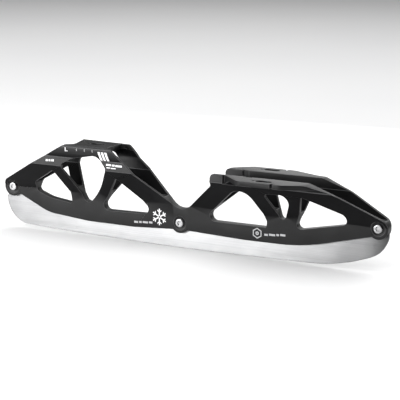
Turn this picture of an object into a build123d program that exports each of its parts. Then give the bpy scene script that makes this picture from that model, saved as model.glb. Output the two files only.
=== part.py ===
from build123d import *
import os
from math import acos, atan2, cos, hypot, sin

# Blade unit of an ice speed skate with a three-point boot mount, for the left foot.
# X runs from heel to toe, +Y is the lateral (outer) side and Z is the height above the ice.
# The origin is on the ice, under the middle of the blade. Everything is in millimetres.

# Places along the skate
bolt_spacing = 353.0           # between the rear and the front frame bolt
middle_bolt_x = -3.5
rear_mount_x = -87.0           # middle of the rear mounting slot
front_mount_x = 78.0           # mean of the two front mounting slots
mount_stagger = 16.0           # how far the medial front slot lies ahead of the lateral one
ear_length = 12.0              # short piece of full wall behind each front flange
front_bend_x = front_mount_x + 43.5

# Heights: the bolt line above the ice, and rises above the bolt line
bolt_height = 37.0
middle_bolt_drop = 15.0
fold_rise = 1.0                # top of the upright rail, where the walls start to lean out
trough_floor_rise = 6.4        # floor of the trough between the walls
wide_rise = 26.0               # widest line of the walls
ridge_rise = 34.0              # top of the lit band above the widest line
front_rise = 33.0              # top of the front flanges
deck_rise = 45.5               # top of the rear deck
rail_depth = 23.4              # lower edge of the rail below the bolt line
waist_depth = 20.6             # lower edge of the rail beside the middle bolt
inner_fold_drop = 1.5          # the fold inside the walls, below the widest line outside

# Half widths of the folded walls, and thicknesses
rail_half = 3.5
wide_half = 15.8
ridge_half = 15.0
deck_half = 17.0
wall = 3.2                     # measured across the skate
deck_wall = 2.6                # wall beside the rear deck
deck_thickness = 4.5
deck_corner = 0.6              # chamfer along the deck's outer edges
deck_pad_height = 0.8          # raised pad on the deck, narrower toward the toe
deck_pad_rear_half = 15.9
deck_pad_front_half = 12.7
deck_shoulder_drop = 3.2       # the wall stands upright this far below the deck's top
scallop_depth = 7.0            # rounded cut into the rear end of the deck
scallop_length = 25.0
scallop_corner = 11.0
front_cut_depth = 5.0          # square cut into the front end of the deck
front_cut_length = 20.0
front_cut_corner = 5.0
boss_radius = 8.8
spotface_radius = 6.0
spotface_depth = 0.8           # into the rail, under the bolt heads and the nut flanges

# Front mounting flanges
flange_half = 32.0
flange_thickness = 4.0
flange_root_drop = 7.4         # how far the gusset under the flange reaches down the wall
gusset_half = 19.5             # where the flange's flat underside meets its gusset
flange_rear_reach = 20.5       # full width of the flange, behind and ahead of its slot
flange_front_reach = 18.0
flange_rear_taper = 20.5       # length over which it narrows to the wall behind
flange_waist_reach = 41.0      # ahead of the slot, where the front taper becomes slower
flange_waist_half = 22.0
flange_tip_reach = 19.5        # ahead of the bend, where the flange runs out in the wall
flange_tip_half = 15.6
front_slot_y = 24.0
scoop_depth = 1.4              # relief in the wall between the ear and the flange
scoop_length = 26.0
scoop_breadth = 12.0
scoop_corner = 2.0
scoop_floor_drop = 7.6         # below the top of the flange
edge_pocket_length = 12.0
edge_pocket_height = 2.2
edge_pocket_depth = 3.0
edge_pocket_offset = 10.0      # ahead of the slot's middle
edge_pocket_drop = 2.3         # the pocket's middle below the top of the flange
key_groove_width = 6.0
key_groove_depth = 1.2
key_groove_offset = 19.0       # behind the slot's middle
web_thickness = 5.0
web_top_rise = 21.0
web_x = front_bend_x + 3.0
web_root = 0.5                 # how far the web reaches into the trough floor

# Mounting slots, with a small alignment hole behind each
slot_length = 14.0
slot_width = 6.4
pilot_radius = 1.3
pilot_offset = 9.6             # from the slot's middle, toward the heel

# Blade
blade_thickness = 1.2
blade_rocker_radius = 4200.0
blade_overhang = 8.6           # blade beyond the outer bolts at heel and toe
blade_heel_radius = 24.0
blade_lug_radius = 5.6
blade_seat_top = 10.2          # height of the blade inside the rail, above the rail's lower edge

# Bolts and sleeve nuts
bolt_head_radius = 3.7
bolt_head_height = 1.6
bolt_head_round = 0.8
bolt_shank_radius = 2.0
bolt_tip_chamfer = 0.4
bolt_end_gap = 0.5             # between the bolt's end and the bottom of the nut's bore
nut_barrel_radius = 3.0
nut_flange_height = 1.4
nut_flange_round = 0.6
nut_end_gap = 0.8              # between the nut's barrel and the face under the bolt's head
recess_lobe_radius = 0.55
recess_lobe_circle = 1.45
recess_depth = 1.0

cut_margin = 1.0               # how far cuts reach beyond the metal they pass through

rear_bolt_x = -bolt_spacing / 2
front_bolt_x = bolt_spacing / 2
middle_bolt_height = bolt_height - middle_bolt_drop
deck_rear_x = rear_mount_x - 25.0
deck_front_x = rear_mount_x + 22.0
rim_rise = deck_rise - deck_pad_height
ear_x = front_mount_x - 46.3
seat_half = rail_half - spotface_depth
bolt_places = {
    "rear": (rear_bolt_x, bolt_height),
    "middle": (middle_bolt_x, middle_bolt_height),
    "front": (front_bolt_x, bolt_height),
}


def height(rise):
    """Height above the ice of a point given by its rise above the bolt line."""
    return bolt_height + rise


def rounded_face(corners):
    """A face with its own radius at each (x, rise, radius) corner."""
    with BuildSketch() as face:
        with BuildLine():
            FilletPolyline(
                *[(x, height(rise)) for x, rise, radius in corners],
                radius=[radius for x, rise, radius in corners],
                close=True,
            )
        make_face()
    return face.sketch


def boss_tangent(boss_x, corner_x, corner_rise):
    """The upper point where a line from a corner touches the boss around an end bolt."""
    reach = hypot(corner_x - boss_x, corner_rise)
    towards = atan2(corner_rise, corner_x - boss_x)
    spread = acos(boss_radius / reach)
    angle = towards + spread if corner_x > boss_x else towards - spread
    return boss_x + boss_radius * cos(angle), boss_radius * sin(angle)


def side_outline():
    """The frame seen from the side, from the rear boss over the deck and flanges and back."""
    rear_x, rear_rise = boss_tangent(rear_bolt_x, deck_rear_x, deck_rise)
    shoulder_x, shoulder_rise = front_bolt_x - 29.5, 24.0
    front_x, front_end_rise = boss_tangent(front_bolt_x, shoulder_x, shoulder_rise)
    with BuildSketch() as outline:
        add(rounded_face([
            (rear_x, rear_rise, 0.5),
            (deck_rear_x, deck_rise, 2.0),
            (deck_front_x, deck_rise, 2.0),
            (deck_front_x + 10.5, front_rise + 2.6, 12.0),
            (deck_front_x + 22.5, wide_rise - 1.0, 14.0),
            (middle_bolt_x + 2.3, -6.1, 13.0),
            (ear_x, front_rise - 10.5, 2.0),
            (ear_x, front_rise, 4.0),
            (front_bend_x, front_rise, 8.0),
            (shoulder_x, shoulder_rise, 60.0),
            (front_x, front_end_rise, 0.5),
            (front_bolt_x, 0.0, 0.5),
            (front_bolt_x, 3.0 - boss_radius, 0.5),
            (front_bolt_x - 66.5, 1.1 - rail_depth, 180.0),
            (middle_bolt_x + 60.0, 0.8 - rail_depth, 150.0),
            (middle_bolt_x, -waist_depth, 1.0),
            (middle_bolt_x - 46.0, -rail_depth, 150.0),
            (rear_bolt_x + 81.0, -rail_depth, 110.0),
            (rear_bolt_x + 38.5, 3.6 - rail_depth, 45.0),
            (rear_bolt_x + 8.5, -6.4, 2.0),
            (rear_bolt_x, 0.0, 0.5),
        ]))
        with Locations(*bolt_places.values()):
            Circle(boss_radius)
    return outline.sketch


# Windows through both walls, as (x, rise, radius) corners
rear_window = [
    (rear_bolt_x + 26.0, -1.0, 4.5),
    (rear_bolt_x + 27.0, 7.5, 4.0),
    (rear_bolt_x + 50.2, 21.0, 1.5),
    (rear_bolt_x + 63.0, -0.5, 12.0),
    (rear_bolt_x + 63.9, -9.0, 1.5),
    (rear_bolt_x + 40.5, -6.2, 30.0),
]
deck_window = [
    (rear_mount_x - 9.0, -9.8, 5.0),
    (rear_mount_x - 30.5, wide_rise + 1.3, 4.5),
    (rear_mount_x - 17.0, ridge_rise - 0.3, 8.0),
    (rear_mount_x + 8.2, deck_rise - deck_thickness - 2.6, 7.0),
    (rear_mount_x + 17.4, wide_rise + 1.0, 3.5),
    (rear_mount_x + 8.0, 10.0, 60.0),
]
valley_window = [
    (rear_mount_x + 25.7, 19.4, 1.5),
    (rear_mount_x + 2.5, -11.8, 5.0),
    (middle_bolt_x - 23.5, -10.5, 4.5),
]
flange_window = [
    (middle_bolt_x + 20.5, -10.0, 5.0),
    (front_mount_x - 17.3, wide_rise + 1.1, 13.0),
    (front_mount_x + 1.0, -4.5, 4.0),
    (front_mount_x + 0.4, -9.8, 1.5),
]
narrow_window = [
    (front_mount_x + 1.8, 19.9, 2.0),
    (front_mount_x + 27.0, 21.4, 7.0),
    (front_mount_x + 15.6, -5.0, 3.0),
]
front_window = [
    (front_bolt_x - 63.0, 20.8, 2.0),
    (front_bolt_x - 11.6, 3.1, 5.2),
    (front_bolt_x - 73.3, -9.2, 4.0),
    (front_bolt_x - 67.1, 6.0, 30.0),
]
windows = [rear_window, deck_window, valley_window, flange_window, narrow_window, front_window]


def blade_outline():
    """The runner: a rocker along the ice, a round heel, a swept toe and lugs at the bolts."""
    seat = blade_seat_top - rail_depth
    heel_x = rear_bolt_x - blade_overhang
    toe_x = front_bolt_x + blade_overhang
    heel_bottom_x = heel_x + blade_heel_radius
    heel_bottom_z = heel_bottom_x ** 2 / (2 * blade_rocker_radius)
    toe_start_x = front_bolt_x - 56.0
    toe_start_z = toe_start_x ** 2 / (2 * blade_rocker_radius)
    heel_top_z = heel_bottom_z + blade_heel_radius
    toe_top_z = height(-4.0)
    with BuildSketch() as outline:
        with BuildLine():
            ThreePointArc((heel_bottom_x, heel_bottom_z), (0, 0), (toe_start_x, toe_start_z))
            Spline(
                (toe_start_x, toe_start_z),
                (toe_x - 18.4, 0.34 * toe_top_z),
                (toe_x - 8.2, 0.5 * toe_top_z),
                (toe_x - 1.3, 0.79 * toe_top_z),
                (toe_x, toe_top_z),
                tangents=[(1, toe_start_x / blade_rocker_radius), (0, 1)],
            )
            Polyline(
                (toe_x, toe_top_z),
                (front_bolt_x, height(0)),
                (front_bolt_x - 6.0, height(5.0)),
                (front_bolt_x - 26.5, height(-4.5)),
                (front_bolt_x - 66.5, height(seat + 2.0)),
                (middle_bolt_x + 32.0, height(seat + 0.6)),
                (middle_bolt_x + 14.0, height(-7.0)),
                (middle_bolt_x - 14.0, height(-7.0)),
                (middle_bolt_x - 30.0, height(seat)),
                (rear_mount_x - 3.0, height(seat)),
                (rear_bolt_x + 64.5, height(seat + 1.8)),
                (rear_bolt_x + 25.0, height(-4.0)),
                (rear_bolt_x + 6.0, height(5.0)),
                (rear_bolt_x, height(0)),
                (heel_x, heel_top_z),
            )
            RadiusArc((heel_x, heel_top_z), (heel_bottom_x, heel_bottom_z), -blade_heel_radius)
        make_face()
        for bolt_x in (rear_bolt_x, front_bolt_x):
            with Locations((bolt_x, bolt_height)):
                Circle(blade_lug_radius)
    return outline.sketch


def flange_plan(side):
    """Plan of one front flange, narrowing to the wall behind and ahead of its slot."""
    slot_x = front_mount_x - side * mount_stagger / 2
    wide_start_x = slot_x - flange_rear_reach
    wide_end_x = slot_x + flange_front_reach
    root = ridge_half - wall / 2
    with BuildSketch() as plan:
        with BuildLine():
            FilletPolyline(
                (wide_start_x - flange_rear_taper, side * root),
                (wide_start_x, side * flange_half),
                (wide_end_x, side * flange_half),
                (slot_x + flange_waist_reach, side * flange_waist_half),
                (front_bend_x + flange_tip_reach, side * flange_tip_half),
                (front_bend_x + flange_tip_reach, side * root),
                radius=[0.2, 9.0, 12.0, 20.0, 0.2, 0.2],
                close=True,
            )
        make_face()
    return plan.sketch


with BuildPart() as flanges:
    for side in (-1, 1):
        with BuildSketch(Plane.XY.offset(height(front_rise - flange_root_drop))):
            add(flange_plan(side))
        extrude(amount=flange_root_drop)
    with BuildSketch(Plane.YZ) as flange_section:
        for side in (-1, 1):
            with BuildLine():
                Polyline(
                    (side * (ridge_half - wall / 2), height(front_rise)),
                    (side * flange_half, height(front_rise)),
                    (side * flange_half, height(front_rise - flange_thickness)),
                    (side * gusset_half, height(front_rise - flange_thickness)),
                    (side * (wide_half - wall / 2), height(front_rise - flange_root_drop)),
                    (side * (ridge_half - wall / 2), height(front_rise - flange_root_drop)),
                    close=True,
                )
            make_face()
    extrude(amount=bolt_spacing, both=True, mode=Mode.INTERSECT)

with BuildPart() as frame:
    # Folded section with a solid rail below and the deck plate on top
    with BuildSketch(Plane.YZ) as section:
        with BuildLine():
            for side in (-1, 1):
                Polyline(
                    (side * rail_half, height(-rail_depth - boss_radius)),
                    (side * rail_half, height(fold_rise)),
                    (side * wide_half, height(wide_rise)),
                    (side * ridge_half, height(ridge_rise)),
                )
                TangentArc(
                    (side * deck_half, height(deck_rise - deck_shoulder_drop)),
                    (side * ridge_half, height(ridge_rise)),
                    tangent=(0, -1),
                    tangent_from_first=True,
                )
                Polyline(
                    (side * deck_half, height(deck_rise - deck_shoulder_drop)),
                    (side * deck_half, height(rim_rise - deck_corner)),
                    (side * (deck_half - deck_corner), height(rim_rise)),
                )
            Line(
                (-deck_half + deck_corner, height(rim_rise)),
                (deck_half - deck_corner, height(rim_rise)),
            )
            Line(
                (-rail_half, height(-rail_depth - boss_radius)),
                (rail_half, height(-rail_depth - boss_radius)),
            )
        make_face()
        lean = (wide_half - rail_half) / (wide_rise - fold_rise)
        floor_half = rail_half + lean * (trough_floor_rise - fold_rise) - wall
        with BuildLine():
            Polyline(
                (-floor_half, height(trough_floor_rise)),
                (-wide_half + wall, height(wide_rise - inner_fold_drop)),
                (-ridge_half + deck_wall, height(ridge_rise)),
                (-deck_half + deck_wall, height(deck_rise - deck_thickness)),
                (deck_half - deck_wall, height(deck_rise - deck_thickness)),
                (ridge_half - deck_wall, height(ridge_rise)),
                (wide_half - wall, height(wide_rise - inner_fold_drop)),
                (floor_half, height(trough_floor_rise)),
                close=True,
            )
        make_face(mode=Mode.SUBTRACT)
    extrude(amount=bolt_spacing, both=True)

    # Raised pad on the rear deck
    with BuildSketch(Plane.XY.offset(height(rim_rise))):
        with BuildLine():
            Polyline(
                (deck_rear_x, -deck_pad_rear_half),
                (deck_front_x, -deck_pad_front_half),
                (deck_front_x, deck_pad_front_half),
                (deck_rear_x, deck_pad_rear_half),
                close=True,
            )
        make_face()
    extrude(amount=deck_pad_height)

    # Scoops beside the ears, then the flanges themselves
    for side in (-1, 1):
        scoop_x = ear_x + ear_length + scoop_length / 2
        scoop_y = ridge_half - scoop_depth + scoop_breadth / 2
        with BuildSketch(Plane.XY.offset(height(front_rise - scoop_floor_drop))):
            with Locations((scoop_x, side * scoop_y)):
                RectangleRounded(scoop_length, scoop_breadth, scoop_corner)
        extrude(amount=scoop_floor_drop, mode=Mode.SUBTRACT)
    add(flanges.part)

    # Side outline
    with BuildSketch(Plane.XZ) as outline:
        add(side_outline())
    extrude(amount=flange_half + cut_margin, both=True, mode=Mode.INTERSECT)

    # Cross web between the walls behind the toe, its ends in the middle of the walls
    with BuildSketch(Plane.YZ.offset(web_x)):
        with BuildLine():
            web_half = rail_half + lean * (web_top_rise - fold_rise) - wall / 2
            Polyline(
                (-floor_half - wall / 2, height(trough_floor_rise - web_root)),
                (-web_half, height(web_top_rise)),
                (web_half, height(web_top_rise)),
                (floor_half + wall / 2, height(trough_floor_rise - web_root)),
                close=True,
            )
        make_face()
    extrude(amount=web_thickness / 2, both=True)

    # Windows
    with BuildSketch(Plane.XZ):
        for corners in windows:
            add(rounded_face(corners))
    extrude(amount=flange_half + cut_margin, both=True, mode=Mode.SUBTRACT)

    # The deck is scalloped behind and cut back square in front, between the walls
    with BuildSketch(Plane.XY.offset(height(deck_rise - deck_thickness - cut_margin))):
        with Locations((deck_rear_x + scallop_depth - scallop_length / 2, 0)):
            RectangleRounded(scallop_length, 2 * (deck_half - deck_wall), scallop_corner)
        with Locations((deck_front_x - front_cut_depth + front_cut_length / 2, 0)):
            RectangleRounded(front_cut_length, 2 * (deck_half - deck_wall), front_cut_corner)
    extrude(amount=deck_thickness + cut_margin, mode=Mode.SUBTRACT)

    # Mounting slots and alignment holes
    slot_places = [
        (rear_mount_x, 0.0),
        (front_mount_x + mount_stagger / 2, -front_slot_y),
        (front_mount_x - mount_stagger / 2, front_slot_y),
    ]
    with BuildSketch(Plane.XY.offset(height(front_rise - flange_root_drop - cut_margin))):
        with Locations(*slot_places):
            SlotOverall(slot_length, slot_width)
        with Locations(*[(x - pilot_offset, y) for x, y in slot_places]):
            Circle(pilot_radius)
    extrude(amount=deck_rise, mode=Mode.SUBTRACT)

    # Pocket in the edge of each flange, and a key groove in the inner face of each wall
    for side in (-1, 1):
        slot_x = front_mount_x - side * mount_stagger / 2
        pocket_x = slot_x + edge_pocket_offset
        pocket_z = height(front_rise - edge_pocket_drop)
        pocket = Plane((pocket_x, side * flange_half, pocket_z), z_dir=(0, -side, 0))
        with BuildSketch(pocket):
            Rectangle(edge_pocket_length, edge_pocket_height)
        extrude(amount=edge_pocket_depth, mode=Mode.SUBTRACT)
        with BuildSketch(Plane.XY.offset(height(wide_rise))):
            with Locations((slot_x - key_groove_offset, side * (wide_half - wall))):
                Rectangle(key_groove_width, 2 * key_groove_depth)
        extrude(amount=front_rise - wide_rise, mode=Mode.SUBTRACT)

    # Slot for the blade, spotfaces and bolt holes
    with BuildSketch(Plane.XZ):
        add(blade_outline())
    extrude(amount=blade_thickness / 2, both=True, mode=Mode.SUBTRACT)
    for side in (-1, 1):
        with BuildSketch(Plane.XZ.offset(side * seat_half)):
            with Locations(*bolt_places.values()):
                Circle(spotface_radius)
        extrude(amount=side * wide_half, mode=Mode.SUBTRACT)
    with BuildSketch(Plane.XZ):
        with Locations(*bolt_places.values()):
            Circle(nut_barrel_radius)
    extrude(amount=rail_half, both=True, mode=Mode.SUBTRACT)

frame.part.label = "frame"

with BuildPart() as blade:
    with BuildSketch(Plane.XZ):
        add(blade_outline())
        with Locations(*bolt_places.values()):
            Circle(nut_barrel_radius, mode=Mode.SUBTRACT)
    extrude(amount=blade_thickness / 2, both=True)

blade.part.label = "blade"

os.makedirs("parts", exist_ok=True)
export_step(frame.part, "parts/frame.step")
export_step(blade.part, "parts/blade.step")

for name, (bolt_x, bolt_z) in bolt_places.items():
    under_head = Plane((bolt_x, -seat_half, bolt_z), x_dir=(1, 0, 0), z_dir=(0, 1, 0))
    under_flange = Plane((bolt_x, seat_half, bolt_z), x_dir=(1, 0, 0), z_dir=(0, -1, 0))
    barrel_length = 2 * seat_half - nut_end_gap
    shank_length = 2 * seat_half - bolt_end_gap

    with BuildPart() as bolt:
        with BuildSketch(under_head):
            Circle(bolt_head_radius)
        extrude(amount=-bolt_head_height)
        fillet(bolt.edges().group_by(Axis.Y)[0], bolt_head_round)
        with BuildSketch(under_head):
            Circle(bolt_shank_radius)
        extrude(amount=shank_length)
        chamfer(bolt.edges().group_by(Axis.Y)[-1], bolt_tip_chamfer)
        with BuildSketch(under_head.offset(-bolt_head_height)):
            Circle(recess_lobe_circle)
            with PolarLocations(recess_lobe_circle, 6):
                Circle(recess_lobe_radius)
        extrude(amount=recess_depth, mode=Mode.SUBTRACT)
    bolt.part.label = name + "_bolt"
    export_step(bolt.part, "parts/" + name + "_bolt.step")

    with BuildPart() as sleeve_nut:
        with BuildSketch(under_flange):
            Circle(bolt_head_radius)
        extrude(amount=-nut_flange_height)
        fillet(sleeve_nut.edges().group_by(Axis.Y)[-1], nut_flange_round)
        with BuildSketch(under_flange):
            Circle(nut_barrel_radius)
        extrude(amount=barrel_length)
        with BuildSketch(under_flange.offset(barrel_length)):
            Circle(bolt_shank_radius)
        extrude(amount=-barrel_length, mode=Mode.SUBTRACT)
    sleeve_nut.part.label = name + "_sleeve_nut"
    export_step(sleeve_nut.part, "parts/" + name + "_sleeve_nut.step")
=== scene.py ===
import math

import bmesh
import bpy
from mathutils import Matrix, Vector
from mathutils.bvhtree import BVHTree


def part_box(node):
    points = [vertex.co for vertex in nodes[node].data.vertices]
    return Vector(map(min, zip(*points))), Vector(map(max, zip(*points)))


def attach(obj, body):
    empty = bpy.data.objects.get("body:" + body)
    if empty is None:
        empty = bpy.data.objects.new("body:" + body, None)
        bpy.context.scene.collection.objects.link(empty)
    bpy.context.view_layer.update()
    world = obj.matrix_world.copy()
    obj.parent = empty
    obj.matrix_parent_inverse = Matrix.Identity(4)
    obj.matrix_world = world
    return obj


# Looks of the speed skate blade unit: black anodised frame, ground steel blade and bright bolts.
# Metres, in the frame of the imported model: X from heel to toe, Y to the lateral side, Z up from the ice.

MM = 0.001
FRAME_EDGE = 0.28 * MM         # width of the broken edges
FRAME_EDGE_ANGLE = 28.0        # degrees, edges flatter than this stay whole
BLADE_EDGE = 0.3 * MM          # the broken line along the blade's edges, given darker steel as painted shade
BLADE_EDGE_ANGLE = 40.0
WELD_DISTANCE = 0.001 * MM
INK_HEIGHT = 0.03 * MM
INK_STEPS = 8                  # parts of a printed quad, so that it follows the curved wall
MEDIAL = -1                    # side of the skate, as the sign of Y
LATERAL = 1
NOISE_LOW = 0.3                # most of a noise value lies between these two
NOISE_HIGH = 0.7
FLOOR_SIZE = 14.0
SENSOR_WIDTH = 36.0            # of the camera, in millimetres like the lens
LENS = 130.5

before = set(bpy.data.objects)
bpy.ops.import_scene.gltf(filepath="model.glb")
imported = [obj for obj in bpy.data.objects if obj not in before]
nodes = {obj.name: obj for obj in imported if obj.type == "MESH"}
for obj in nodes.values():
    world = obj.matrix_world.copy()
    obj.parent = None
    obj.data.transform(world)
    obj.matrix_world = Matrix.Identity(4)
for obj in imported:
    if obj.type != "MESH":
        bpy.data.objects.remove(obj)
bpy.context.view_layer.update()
FRAME_NODE = "frame"
BLADE_NODE = "blade"
FASTENER_NODES = sorted(name for name in nodes if name.endswith(("_bolt", "_sleeve_nut")))


# ---------------------------------------------------------------- node helpers

def new_material(name):
    material = bpy.data.materials.new(name)
    material.use_nodes = True
    shader = material.node_tree.nodes["Principled BSDF"]
    return material, material.node_tree, shader


def stretched_position(tree, scale):
    """Object position in metres, times a scale along each axis."""
    position = tree.nodes.new("ShaderNodeTexCoord")
    mapping = tree.nodes.new("ShaderNodeMapping")
    mapping.inputs["Scale"].default_value = scale
    tree.links.new(position.outputs["Object"], mapping.inputs["Vector"])
    return mapping.outputs["Vector"]


def noise(tree, scale, detail=3.0, roughness=0.55):
    """Noise with its grain given as cycles per metre along X, Y and Z."""
    texture = tree.nodes.new("ShaderNodeTexNoise")
    texture.inputs["Scale"].default_value = 1.0
    texture.inputs["Detail"].default_value = detail
    texture.inputs["Roughness"].default_value = roughness
    tree.links.new(stretched_position(tree, scale), texture.inputs["Vector"])
    return texture.outputs["Fac"]


def ramp(tree, value, stops):
    """Colour ramp with (place, colour) stops."""
    node = tree.nodes.new("ShaderNodeValToRGB")
    elements = node.color_ramp.elements
    while len(elements) < len(stops):
        elements.new(0.5)
    for element, (place, colour) in zip(elements, stops):
        element.position = place
        element.color = (*colour, 1.0)
    tree.links.new(value, node.inputs["Fac"])
    return node.outputs["Color"]


def grey_ramp(tree, value, stops):
    """Ramp of plain numbers with (place, number) stops."""
    return ramp(tree, value, [(place, (number, number, number)) for place, number in stops])


def spread(tree, value, low, high):
    """Maps the middle of a noise value to a range."""
    node = tree.nodes.new("ShaderNodeMapRange")
    node.inputs["From Min"].default_value = NOISE_LOW
    node.inputs["From Max"].default_value = NOISE_HIGH
    node.inputs["To Min"].default_value = low
    node.inputs["To Max"].default_value = high
    tree.links.new(value, node.inputs["Value"])
    return node.outputs["Result"]


def mixed(tree, first, second, share):
    """Mix of two values."""
    node = tree.nodes.new("ShaderNodeMix")
    node.inputs["Factor"].default_value = share
    tree.links.new(first, node.inputs["A"])
    tree.links.new(second, node.inputs["B"])
    return node.outputs["Result"]


def bumped(tree, shader, value, strength, depth):
    """Bump of a shader from a height value."""
    node = tree.nodes.new("ShaderNodeBump")
    node.inputs["Strength"].default_value = strength
    node.inputs["Distance"].default_value = depth
    tree.links.new(value, node.inputs["Height"])
    tree.links.new(node.outputs["Normal"], shader.inputs["Normal"])


# ---------------------------------------------------------------- materials

# Stops along the upward slope of a face: 0 faces down, 0.5 is upright, 1 faces up
# Painted shade: reflection strength by slope, low on down-leaning walls and on the sloping inner walls of
# hollows so they come out dark, high on upright rails and level tops
SHADE_GLOSS_BY_SLOPE = (
    (0.32, 0.07), (0.4, 0.23), (0.51, 0.23), (0.55, 0.16), (0.66, 0.05), (0.82, 0.05), (0.92, 0.17),
)
BLASTED_BY_SLOPE = ((0.82, 0.0), (0.92, 0.15))

# Painted shade: stops from the blade's heel to its toe, BLADE_END behind and ahead of the origin, that
# darken the steel's colour toward the heel and most at the toe, standing in for the light falling off
# along the blade
BLADE_END = 0.186
PAINTED_SHADE_ALONG_BLADE = ((0.0, 0.62), (0.25, 0.86), (0.5, 1.0), (0.78, 0.98), (0.94, 0.66), (1.0, 0.2))


def black_anodised(name, dark, light, rough_low, rough_high):
    """Satin black anodised aluminium with painted shade: reflection strength is set by which way a face
    points, low on leaning walls and in hollows so they come out dark; level faces are rougher.
    """
    material, tree, shader = new_material(name)
    shader.inputs["Metallic"].default_value = 0.0
    facing = tree.nodes.new("ShaderNodeNewGeometry")
    tilt = tree.nodes.new("ShaderNodeSeparateXYZ")
    tree.links.new(facing.outputs["Normal"], tilt.inputs["Vector"])
    upward = tree.nodes.new("ShaderNodeMapRange")
    upward.inputs["From Min"].default_value = -1.0
    tree.links.new(tilt.outputs["Z"], upward.inputs["Value"])
    # Painted shade: reflection strength set by the face's slope
    gloss_shade = grey_ramp(tree, upward.outputs["Result"], SHADE_GLOSS_BY_SLOPE)
    tree.links.new(gloss_shade, shader.inputs["Specular IOR Level"])
    grain = noise(tree, (1900.0, 1900.0, 1900.0), detail=2.0, roughness=0.7)
    lines = noise(tree, (18.0, 1300.0, 1300.0), detail=2.0)
    patches = noise(tree, (22.0, 40.0, 40.0), detail=4.0)
    tone = mixed(tree, patches, grain, 0.35)
    tree.links.new(ramp(tree, tone, [(0.32, dark), (0.68, light)]), shader.inputs["Base Color"])
    blasted = grey_ramp(tree, upward.outputs["Result"], BLASTED_BY_SLOPE)
    roughness = tree.nodes.new("ShaderNodeMath")
    satin = spread(tree, mixed(tree, grain, patches, 0.6), rough_low, rough_high)
    tree.links.new(satin, roughness.inputs[0])
    tree.links.new(blasted, roughness.inputs[1])
    tree.links.new(roughness.outputs["Value"], shader.inputs["Roughness"])
    bumped(tree, shader, mixed(tree, grain, lines, 0.35), 0.35, 0.00006)
    return material


def ground_steel(name):
    """Blade steel, ground along its length, duller in patches, with painted shade darkening its colour
    toward the heel and most at the toe.
    """
    material, tree, shader = new_material(name)
    shader.inputs["Metallic"].default_value = 1.0
    shader.inputs["Anisotropic"].default_value = 0.7
    upright = tree.nodes.new("ShaderNodeCombineXYZ")
    upright.inputs["Z"].default_value = 1.0
    tree.links.new(upright.outputs["Vector"], shader.inputs["Tangent"])
    strokes = noise(tree, (9.0, 2600.0, 2600.0), detail=3.0, roughness=0.65)
    cross = noise(tree, (420.0, 420.0, 420.0), detail=3.0)
    clouds = noise(tree, (26.0, 30.0, 55.0), detail=4.0)
    tone = mixed(tree, strokes, clouds, 0.45)
    stops = [(0.3, (0.26, 0.262, 0.267)), (0.5, (0.32, 0.322, 0.325)), (0.7, (0.38, 0.382, 0.385))]
    position = tree.nodes.new("ShaderNodeSeparateXYZ")
    tree.links.new(stretched_position(tree, (1.0, 1.0, 1.0)), position.inputs["Vector"])
    toward_toe = tree.nodes.new("ShaderNodeMapRange")
    toward_toe.inputs["From Min"].default_value = -BLADE_END
    toward_toe.inputs["From Max"].default_value = BLADE_END
    tree.links.new(position.outputs["X"], toward_toe.inputs["Value"])
    # Painted shade: the steel's colour darkened toward the heel and the toe
    shade = grey_ramp(tree, toward_toe.outputs["Result"], PAINTED_SHADE_ALONG_BLADE)
    tone_times_shade = tree.nodes.new("ShaderNodeVectorMath")
    tone_times_shade.operation = "MULTIPLY"
    tree.links.new(ramp(tree, tone, stops), tone_times_shade.inputs[0])
    tree.links.new(shade, tone_times_shade.inputs[1])
    tree.links.new(tone_times_shade.outputs["Vector"], shader.inputs["Base Color"])
    tree.links.new(spread(tree, mixed(tree, strokes, cross, 0.5), 0.26, 0.44), shader.inputs["Roughness"])
    bumped(tree, shader, mixed(tree, strokes, cross, 0.2), 0.25, 0.00005)
    return material


def edge_shade_steel(name):
    """Darker steel on the blade's broken edges: painted shade that draws the blade's outline as a dark
    line.
    """
    material, tree, shader = new_material(name)
    shader.inputs["Metallic"].default_value = 1.0
    strokes = noise(tree, (60.0, 3000.0, 3000.0), detail=3.0)
    stops = [(0.3, (0.10, 0.10, 0.105)), (0.7, (0.19, 0.19, 0.195))]
    tree.links.new(ramp(tree, strokes, stops), shader.inputs["Base Color"])
    tree.links.new(spread(tree, strokes, 0.3, 0.45), shader.inputs["Roughness"])
    bumped(tree, shader, strokes, 0.2, 0.00003)
    return material


def turned_steel(name):
    """Bright bolt steel with fine turning marks and faint tarnish."""
    material, tree, shader = new_material(name)
    shader.inputs["Metallic"].default_value = 1.0
    marks = noise(tree, (900.0, 5200.0, 900.0), detail=3.0)
    clouds = noise(tree, (260.0, 260.0, 260.0), detail=3.0)
    stops = [(0.3, (0.27, 0.27, 0.275)), (0.7, (0.54, 0.54, 0.545))]
    tree.links.new(ramp(tree, mixed(tree, clouds, marks, 0.4), stops), shader.inputs["Base Color"])
    tree.links.new(spread(tree, clouds, 0.2, 0.36), shader.inputs["Roughness"])
    bumped(tree, shader, marks, 0.2, 0.00003)
    return material


def printed_ink(name, colour):
    """Matt pad-printed ink with slightly uneven cover."""
    material, tree, shader = new_material(name)
    shader.inputs["Specular IOR Level"].default_value = 0.3
    cover = noise(tree, (2400.0, 2400.0, 2400.0), detail=2.0)
    thin = tuple(0.78 * part for part in colour)
    tree.links.new(ramp(tree, cover, [(0.25, thin), (0.6, colour)]), shader.inputs["Base Color"])
    tree.links.new(spread(tree, cover, 0.45, 0.65), shader.inputs["Roughness"])
    bumped(tree, shader, cover, 0.2, 0.00002)
    return material


def pale_floor(name):
    """Pale studio floor with a very faint tone variation."""
    material, tree, shader = new_material(name)
    shader.inputs["Specular IOR Level"].default_value = 0.2
    clouds = noise(tree, (1.2, 1.2, 1.2), detail=2.0)
    stops = [(0.3, (0.88, 0.88, 0.885)), (0.7, (0.91, 0.91, 0.91))]
    tree.links.new(ramp(tree, clouds, stops), shader.inputs["Base Color"])
    shader.inputs["Roughness"].default_value = 0.9
    return material


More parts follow.
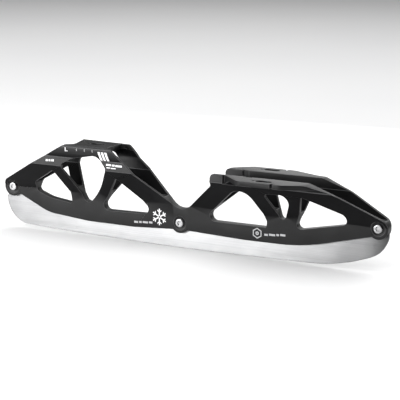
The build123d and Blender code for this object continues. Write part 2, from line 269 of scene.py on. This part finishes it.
FRAME_BLACK = black_anodised("anodised_black", (0.002, 0.002, 0.0022), (0.006, 0.006, 0.0065), 0.3, 0.42)
EDGE_BLACK = black_anodised("anodised_edge", (0.045, 0.045, 0.046), (0.09, 0.09, 0.092), 0.28, 0.38)
BLADE_STEEL = ground_steel("ground_blade_steel")
BLADE_EDGE_SHADE = edge_shade_steel("blade_edge_painted_shade")
BOLT_STEEL = turned_steel("turned_bolt_steel")
WHITE_INK = printed_ink("white_ink", (0.86, 0.86, 0.87))
GREY_INK = printed_ink("grey_ink", (0.42, 0.42, 0.43))


# ---------------------------------------------------------------- CAD nodes

def broken_edges(piece, width, angle):
    """Welds the node's faces and breaks its sharp edges by a flat in the node's second material."""
    weld = piece.modifiers.new("weld", "WELD")
    weld.merge_threshold = WELD_DISTANCE
    bevel = piece.modifiers.new("broken_edges", "BEVEL")
    bevel.width = width
    bevel.segments = 1
    bevel.limit_method = "ANGLE"
    bevel.angle_limit = math.radians(angle)
    bevel.use_clamp_overlap = False
    bevel.harden_normals = False
    bevel.material = 1
    normals = piece.modifiers.new("face_normals", "WEIGHTED_NORMAL")
    normals.keep_sharp = False
    normals.weight = 100


def dress(node, *materials):
    """Gives a CAD node its materials, the first for its faces and the second for broken edges."""
    data = nodes[node].data
    data.materials.clear()
    for material in materials:
        data.materials.append(material)


dress(FRAME_NODE, FRAME_BLACK, EDGE_BLACK)
broken_edges(nodes[FRAME_NODE], FRAME_EDGE, FRAME_EDGE_ANGLE)
# The blade's broken edges get darker steel, painted shade along its outline
dress(BLADE_NODE, BLADE_STEEL, BLADE_EDGE_SHADE)
broken_edges(nodes[BLADE_NODE], BLADE_EDGE, BLADE_EDGE_ANGLE)
for node in FASTENER_NODES:
    dress(node, BOLT_STEEL)


# ---------------------------------------------------------------- printed marks

frame_surface = BVHTree.FromPolygons(
    [vertex.co for vertex in nodes[FRAME_NODE].data.vertices],
    [face.vertices for face in nodes[FRAME_NODE].data.polygons],
)
BOLT_LINE = sum(point.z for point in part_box("rear_bolt")) / 2
OUTSIDE = 0.2                  # a distance from the middle plane that is clear of the frame


def onto_wall(x, rise, side):
    """Point of the outer wall face at a place along the skate and a rise above the bolt line."""
    start = Vector((x, side * OUTSIDE, BOLT_LINE + rise))
    hit, normal, _, _ = frame_surface.ray_cast(start, Vector((0.0, -side, 0.0)))
    return hit + normal * (INK_HEIGHT / 2)


def printed(name, shapes, side, ink):
    """Thin ink film on the wall, made of quads with four (x, rise) corners in mm each."""
    film = bmesh.new()
    for corners in shapes:
        a, b, c, d = [Vector(corner) for corner in corners]
        rows = []
        for i in range(INK_STEPS + 1):
            low_point = a.lerp(b, i / INK_STEPS)
            high_point = d.lerp(c, i / INK_STEPS)
            rows.append([
                film.verts.new(onto_wall(*(low_point.lerp(high_point, j / INK_STEPS) * MM), side))
                for j in range(INK_STEPS + 1)
            ])
        for i in range(INK_STEPS):
            for j in range(INK_STEPS):
                film.faces.new((rows[i][j], rows[i + 1][j], rows[i + 1][j + 1], rows[i][j + 1]))
    bmesh.ops.recalc_face_normals(film, faces=film.faces)
    data = bpy.data.meshes.new(name)
    film.to_mesh(data)
    film.free()
    piece = bpy.data.objects.new(name, data)
    bpy.context.scene.collection.objects.link(piece)
    data.materials.append(ink)
    thickness = piece.modifiers.new("film", "SOLIDIFY")
    thickness.thickness = INK_HEIGHT
    thickness.offset = 0.0
    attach(piece, "root")


def bar(x, rise, length, height, slant=0.0):
    """Upright bar whose top is shifted by slant."""
    return (
        (x - length / 2, rise - height / 2),
        (x + length / 2, rise - height / 2),
        (x + length / 2 + slant, rise + height / 2),
        (x - length / 2 + slant, rise + height / 2),
    )


def stroke(x, rise, angle, start, end, width):
    """Straight stroke leaving a centre at an angle, from one radius to another."""
    along = Vector((math.cos(angle), math.sin(angle)))
    across = Vector((-along.y, along.x)) * width / 2
    centre = Vector((x, rise))
    inner = centre + along * start
    outer = centre + along * end
    return tuple(tuple(p) for p in (inner - across, outer - across, outer + across, inner + across))


def ring(x, rise, radius, width, sides):
    """Ring of straight sides."""
    shapes = []
    for i in range(sides):
        corners = []
        for turn, reach in ((i, radius - width), (i, radius), (i + 1, radius), (i + 1, radius - width)):
            angle = 2 * math.pi * turn / sides + math.pi / 2
            corners.append((x + reach * math.cos(angle), rise + reach * math.sin(angle)))
        shapes.append(tuple(corners))
    return shapes


def dashes(x, rise, lengths, height, gap, climb):
    """Row of dashes that starts at x and climbs along the rail."""
    shapes = []
    for length in lengths:
        shapes.append(bar(x + length / 2, rise + climb * length / 2, length, height))
        x += length + gap
        rise += climb * (length + gap)
    return shapes


# Parts of the ice crystal, as shares of its radius or of its strokes' width
CRYSTAL_HOLLOW = 0.12
CRYSTAL_JOINT = 0.58
CRYSTAL_BRANCH = 0.36
CRYSTAL_BRANCH_START = 0.2
CRYSTAL_BRANCH_WIDTH = 0.8
CRYSTAL_BRANCH_TURN = math.radians(50)


def crystal(x, rise, radius, width):
    """Six-armed ice crystal with two branches on each arm."""
    shapes = []
    for arm in range(6):
        angle = math.radians(60 * arm + 30)
        shapes.append(stroke(x, rise, angle, CRYSTAL_HOLLOW * radius, radius, width))
        arm_direction = Vector((math.cos(angle), math.sin(angle)))
        joint = Vector((x, rise)) + arm_direction * CRYSTAL_JOINT * radius
        for turn in (-1, 1):
            branch = angle + turn * CRYSTAL_BRANCH_TURN
            shapes.append(stroke(
                joint.x, joint.y, branch,
                CRYSTAL_BRANCH_START * width, CRYSTAL_BRANCH * radius, CRYSTAL_BRANCH_WIDTH * width,
            ))
    return shapes


# Fitting scale along the heel deck, a size code and a slanted flash on the medial side
scale_ticks = [bar(x, 42.2, 0.5, 2.2) for x in (-98.0, -90.0, -82.0)]
printed("scale_ticks", scale_ticks, MEDIAL, GREY_INK)
printed("scale_index", [bar(-109.8, 41.6, 0.8, 3.6), bar(-108.1, 40.3, 0.9, 0.9)], MEDIAL, WHITE_INK)
printed("size_code", dashes(-131.6, 29.9, (1.0, 1.0, 1.0, 0.8, 1.4), 1.9, 0.8, 0.05), MEDIAL, WHITE_INK)
flash = [bar(x, 38.3, 2.2, 7.4, slant=-2.0) for x in (-73.4, -70.0, -66.6)]
printed("slanted_flash", flash, MEDIAL, WHITE_INK)
legend = dashes(-69.0, 31.4, (5.0, 2.6, 6.4), 1.5, 0.9, -0.03)
legend += dashes(-68.6, 28.9, (3.6, 5.0), 0.8, 0.8, -0.03)
printed("band_legend", legend, MEDIAL, WHITE_INK)

# Ice crystal, ring and dashes on both sides of the rail
for side, label in ((MEDIAL, "medial"), (LATERAL, "lateral")):
    printed("crystal_" + label, crystal(-23.3, -11.8, 7.2, 1.0), side, WHITE_INK)
    rail_words = dashes(-48.6, -18.8, (4.0, 2.4, 5.2, 3.4), 1.7, 1.1, 0.07)
    printed("rail_dashes_" + label, rail_words, side, GREY_INK)
    badge = ring(70.2, -15.4, 4.6, 1.0, 6) + ring(70.2, -15.4, 1.7, 1.1, 6)
    printed("badge_" + label, badge, side, GREY_INK)
    toe_words = dashes(76.8, -16.0, (3.2, 5.6, 2.4, 4.6), 1.7, 1.1, 0.09)
    printed("toe_dashes_" + label, toe_words, side, GREY_INK)


# ---------------------------------------------------------------- stage, light and camera

bpy.ops.mesh.primitive_plane_add(size=FLOOR_SIZE)
floor = bpy.context.object
floor.name = "studio_floor"
floor.data.materials.append(pale_floor("pale_floor"))


def soft_light(name, place, target, width, depth, power):
    """Rectangular area light aimed at a point, hidden from the camera."""
    data = bpy.data.lights.new(name, "AREA")
    data.shape = "RECTANGLE"
    data.size = width
    data.size_y = depth
    data.energy = power
    lamp = bpy.data.objects.new(name, data)
    lamp.location = place
    lamp.rotation_euler = (Vector(target) - Vector(place)).to_track_quat("-Z", "Y").to_euler()
    lamp.visible_camera = False
    bpy.context.scene.collection.objects.link(lamp)


soft_light("overhead_softbox", (-0.1, 0.1, 1.9), (-0.1, 0.1, 0.0), 4.2, 4.2, 90.0)
soft_light("front_softbox", (-0.97, -1.25, 0.3), (-0.65, 0.0, 0.05), 1.05, 0.5, 31.0)
soft_light("rear_softbox", (0.05, 0.62, 0.26), (0.09, 0.0, 0.07), 0.7, 0.4, 2.6)

world = bpy.data.worlds.new("studio_world")
world.use_nodes = True
sky = world.node_tree
direction = sky.nodes.new("ShaderNodeTexCoord")
split = sky.nodes.new("ShaderNodeSeparateXYZ")
sky.links.new(direction.outputs["Generated"], split.inputs["Vector"])
# Bright near the horizon and dark above, so that hollows stay dark
SKY_BY_HEIGHT = ((0.0, 0.8), (0.14, 0.5), (0.36, 0.03), (1.0, 0.02))
sky_tone = grey_ramp(sky, split.outputs["Z"], SKY_BY_HEIGHT)
sky.links.new(sky_tone, sky.nodes["Background"].inputs["Color"])
bpy.context.scene.world = world
bpy.context.scene.view_settings.view_transform = "Standard"

# Place of the camera and its own backward and right directions
CAMERA_PLACE = Vector((0.5925, -1.0442, 0.2958))
CAMERA_BACK = Vector((0.47385, -0.85592, 0.20706))
CAMERA_RIGHT = Vector((0.87488, 0.48435, 0.0))

camera_data = bpy.data.cameras.new("camera")
camera_data.sensor_width = SENSOR_WIDTH
camera_data.lens = LENS
camera = bpy.data.objects.new("camera", camera_data)
axes = Matrix((CAMERA_RIGHT, CAMERA_BACK.cross(CAMERA_RIGHT), CAMERA_BACK)).transposed()
camera.matrix_world = Matrix.Translation(CAMERA_PLACE) @ axes.to_4x4()
bpy.context.scene.collection.objects.link(camera)
bpy.context.scene.camera = camera
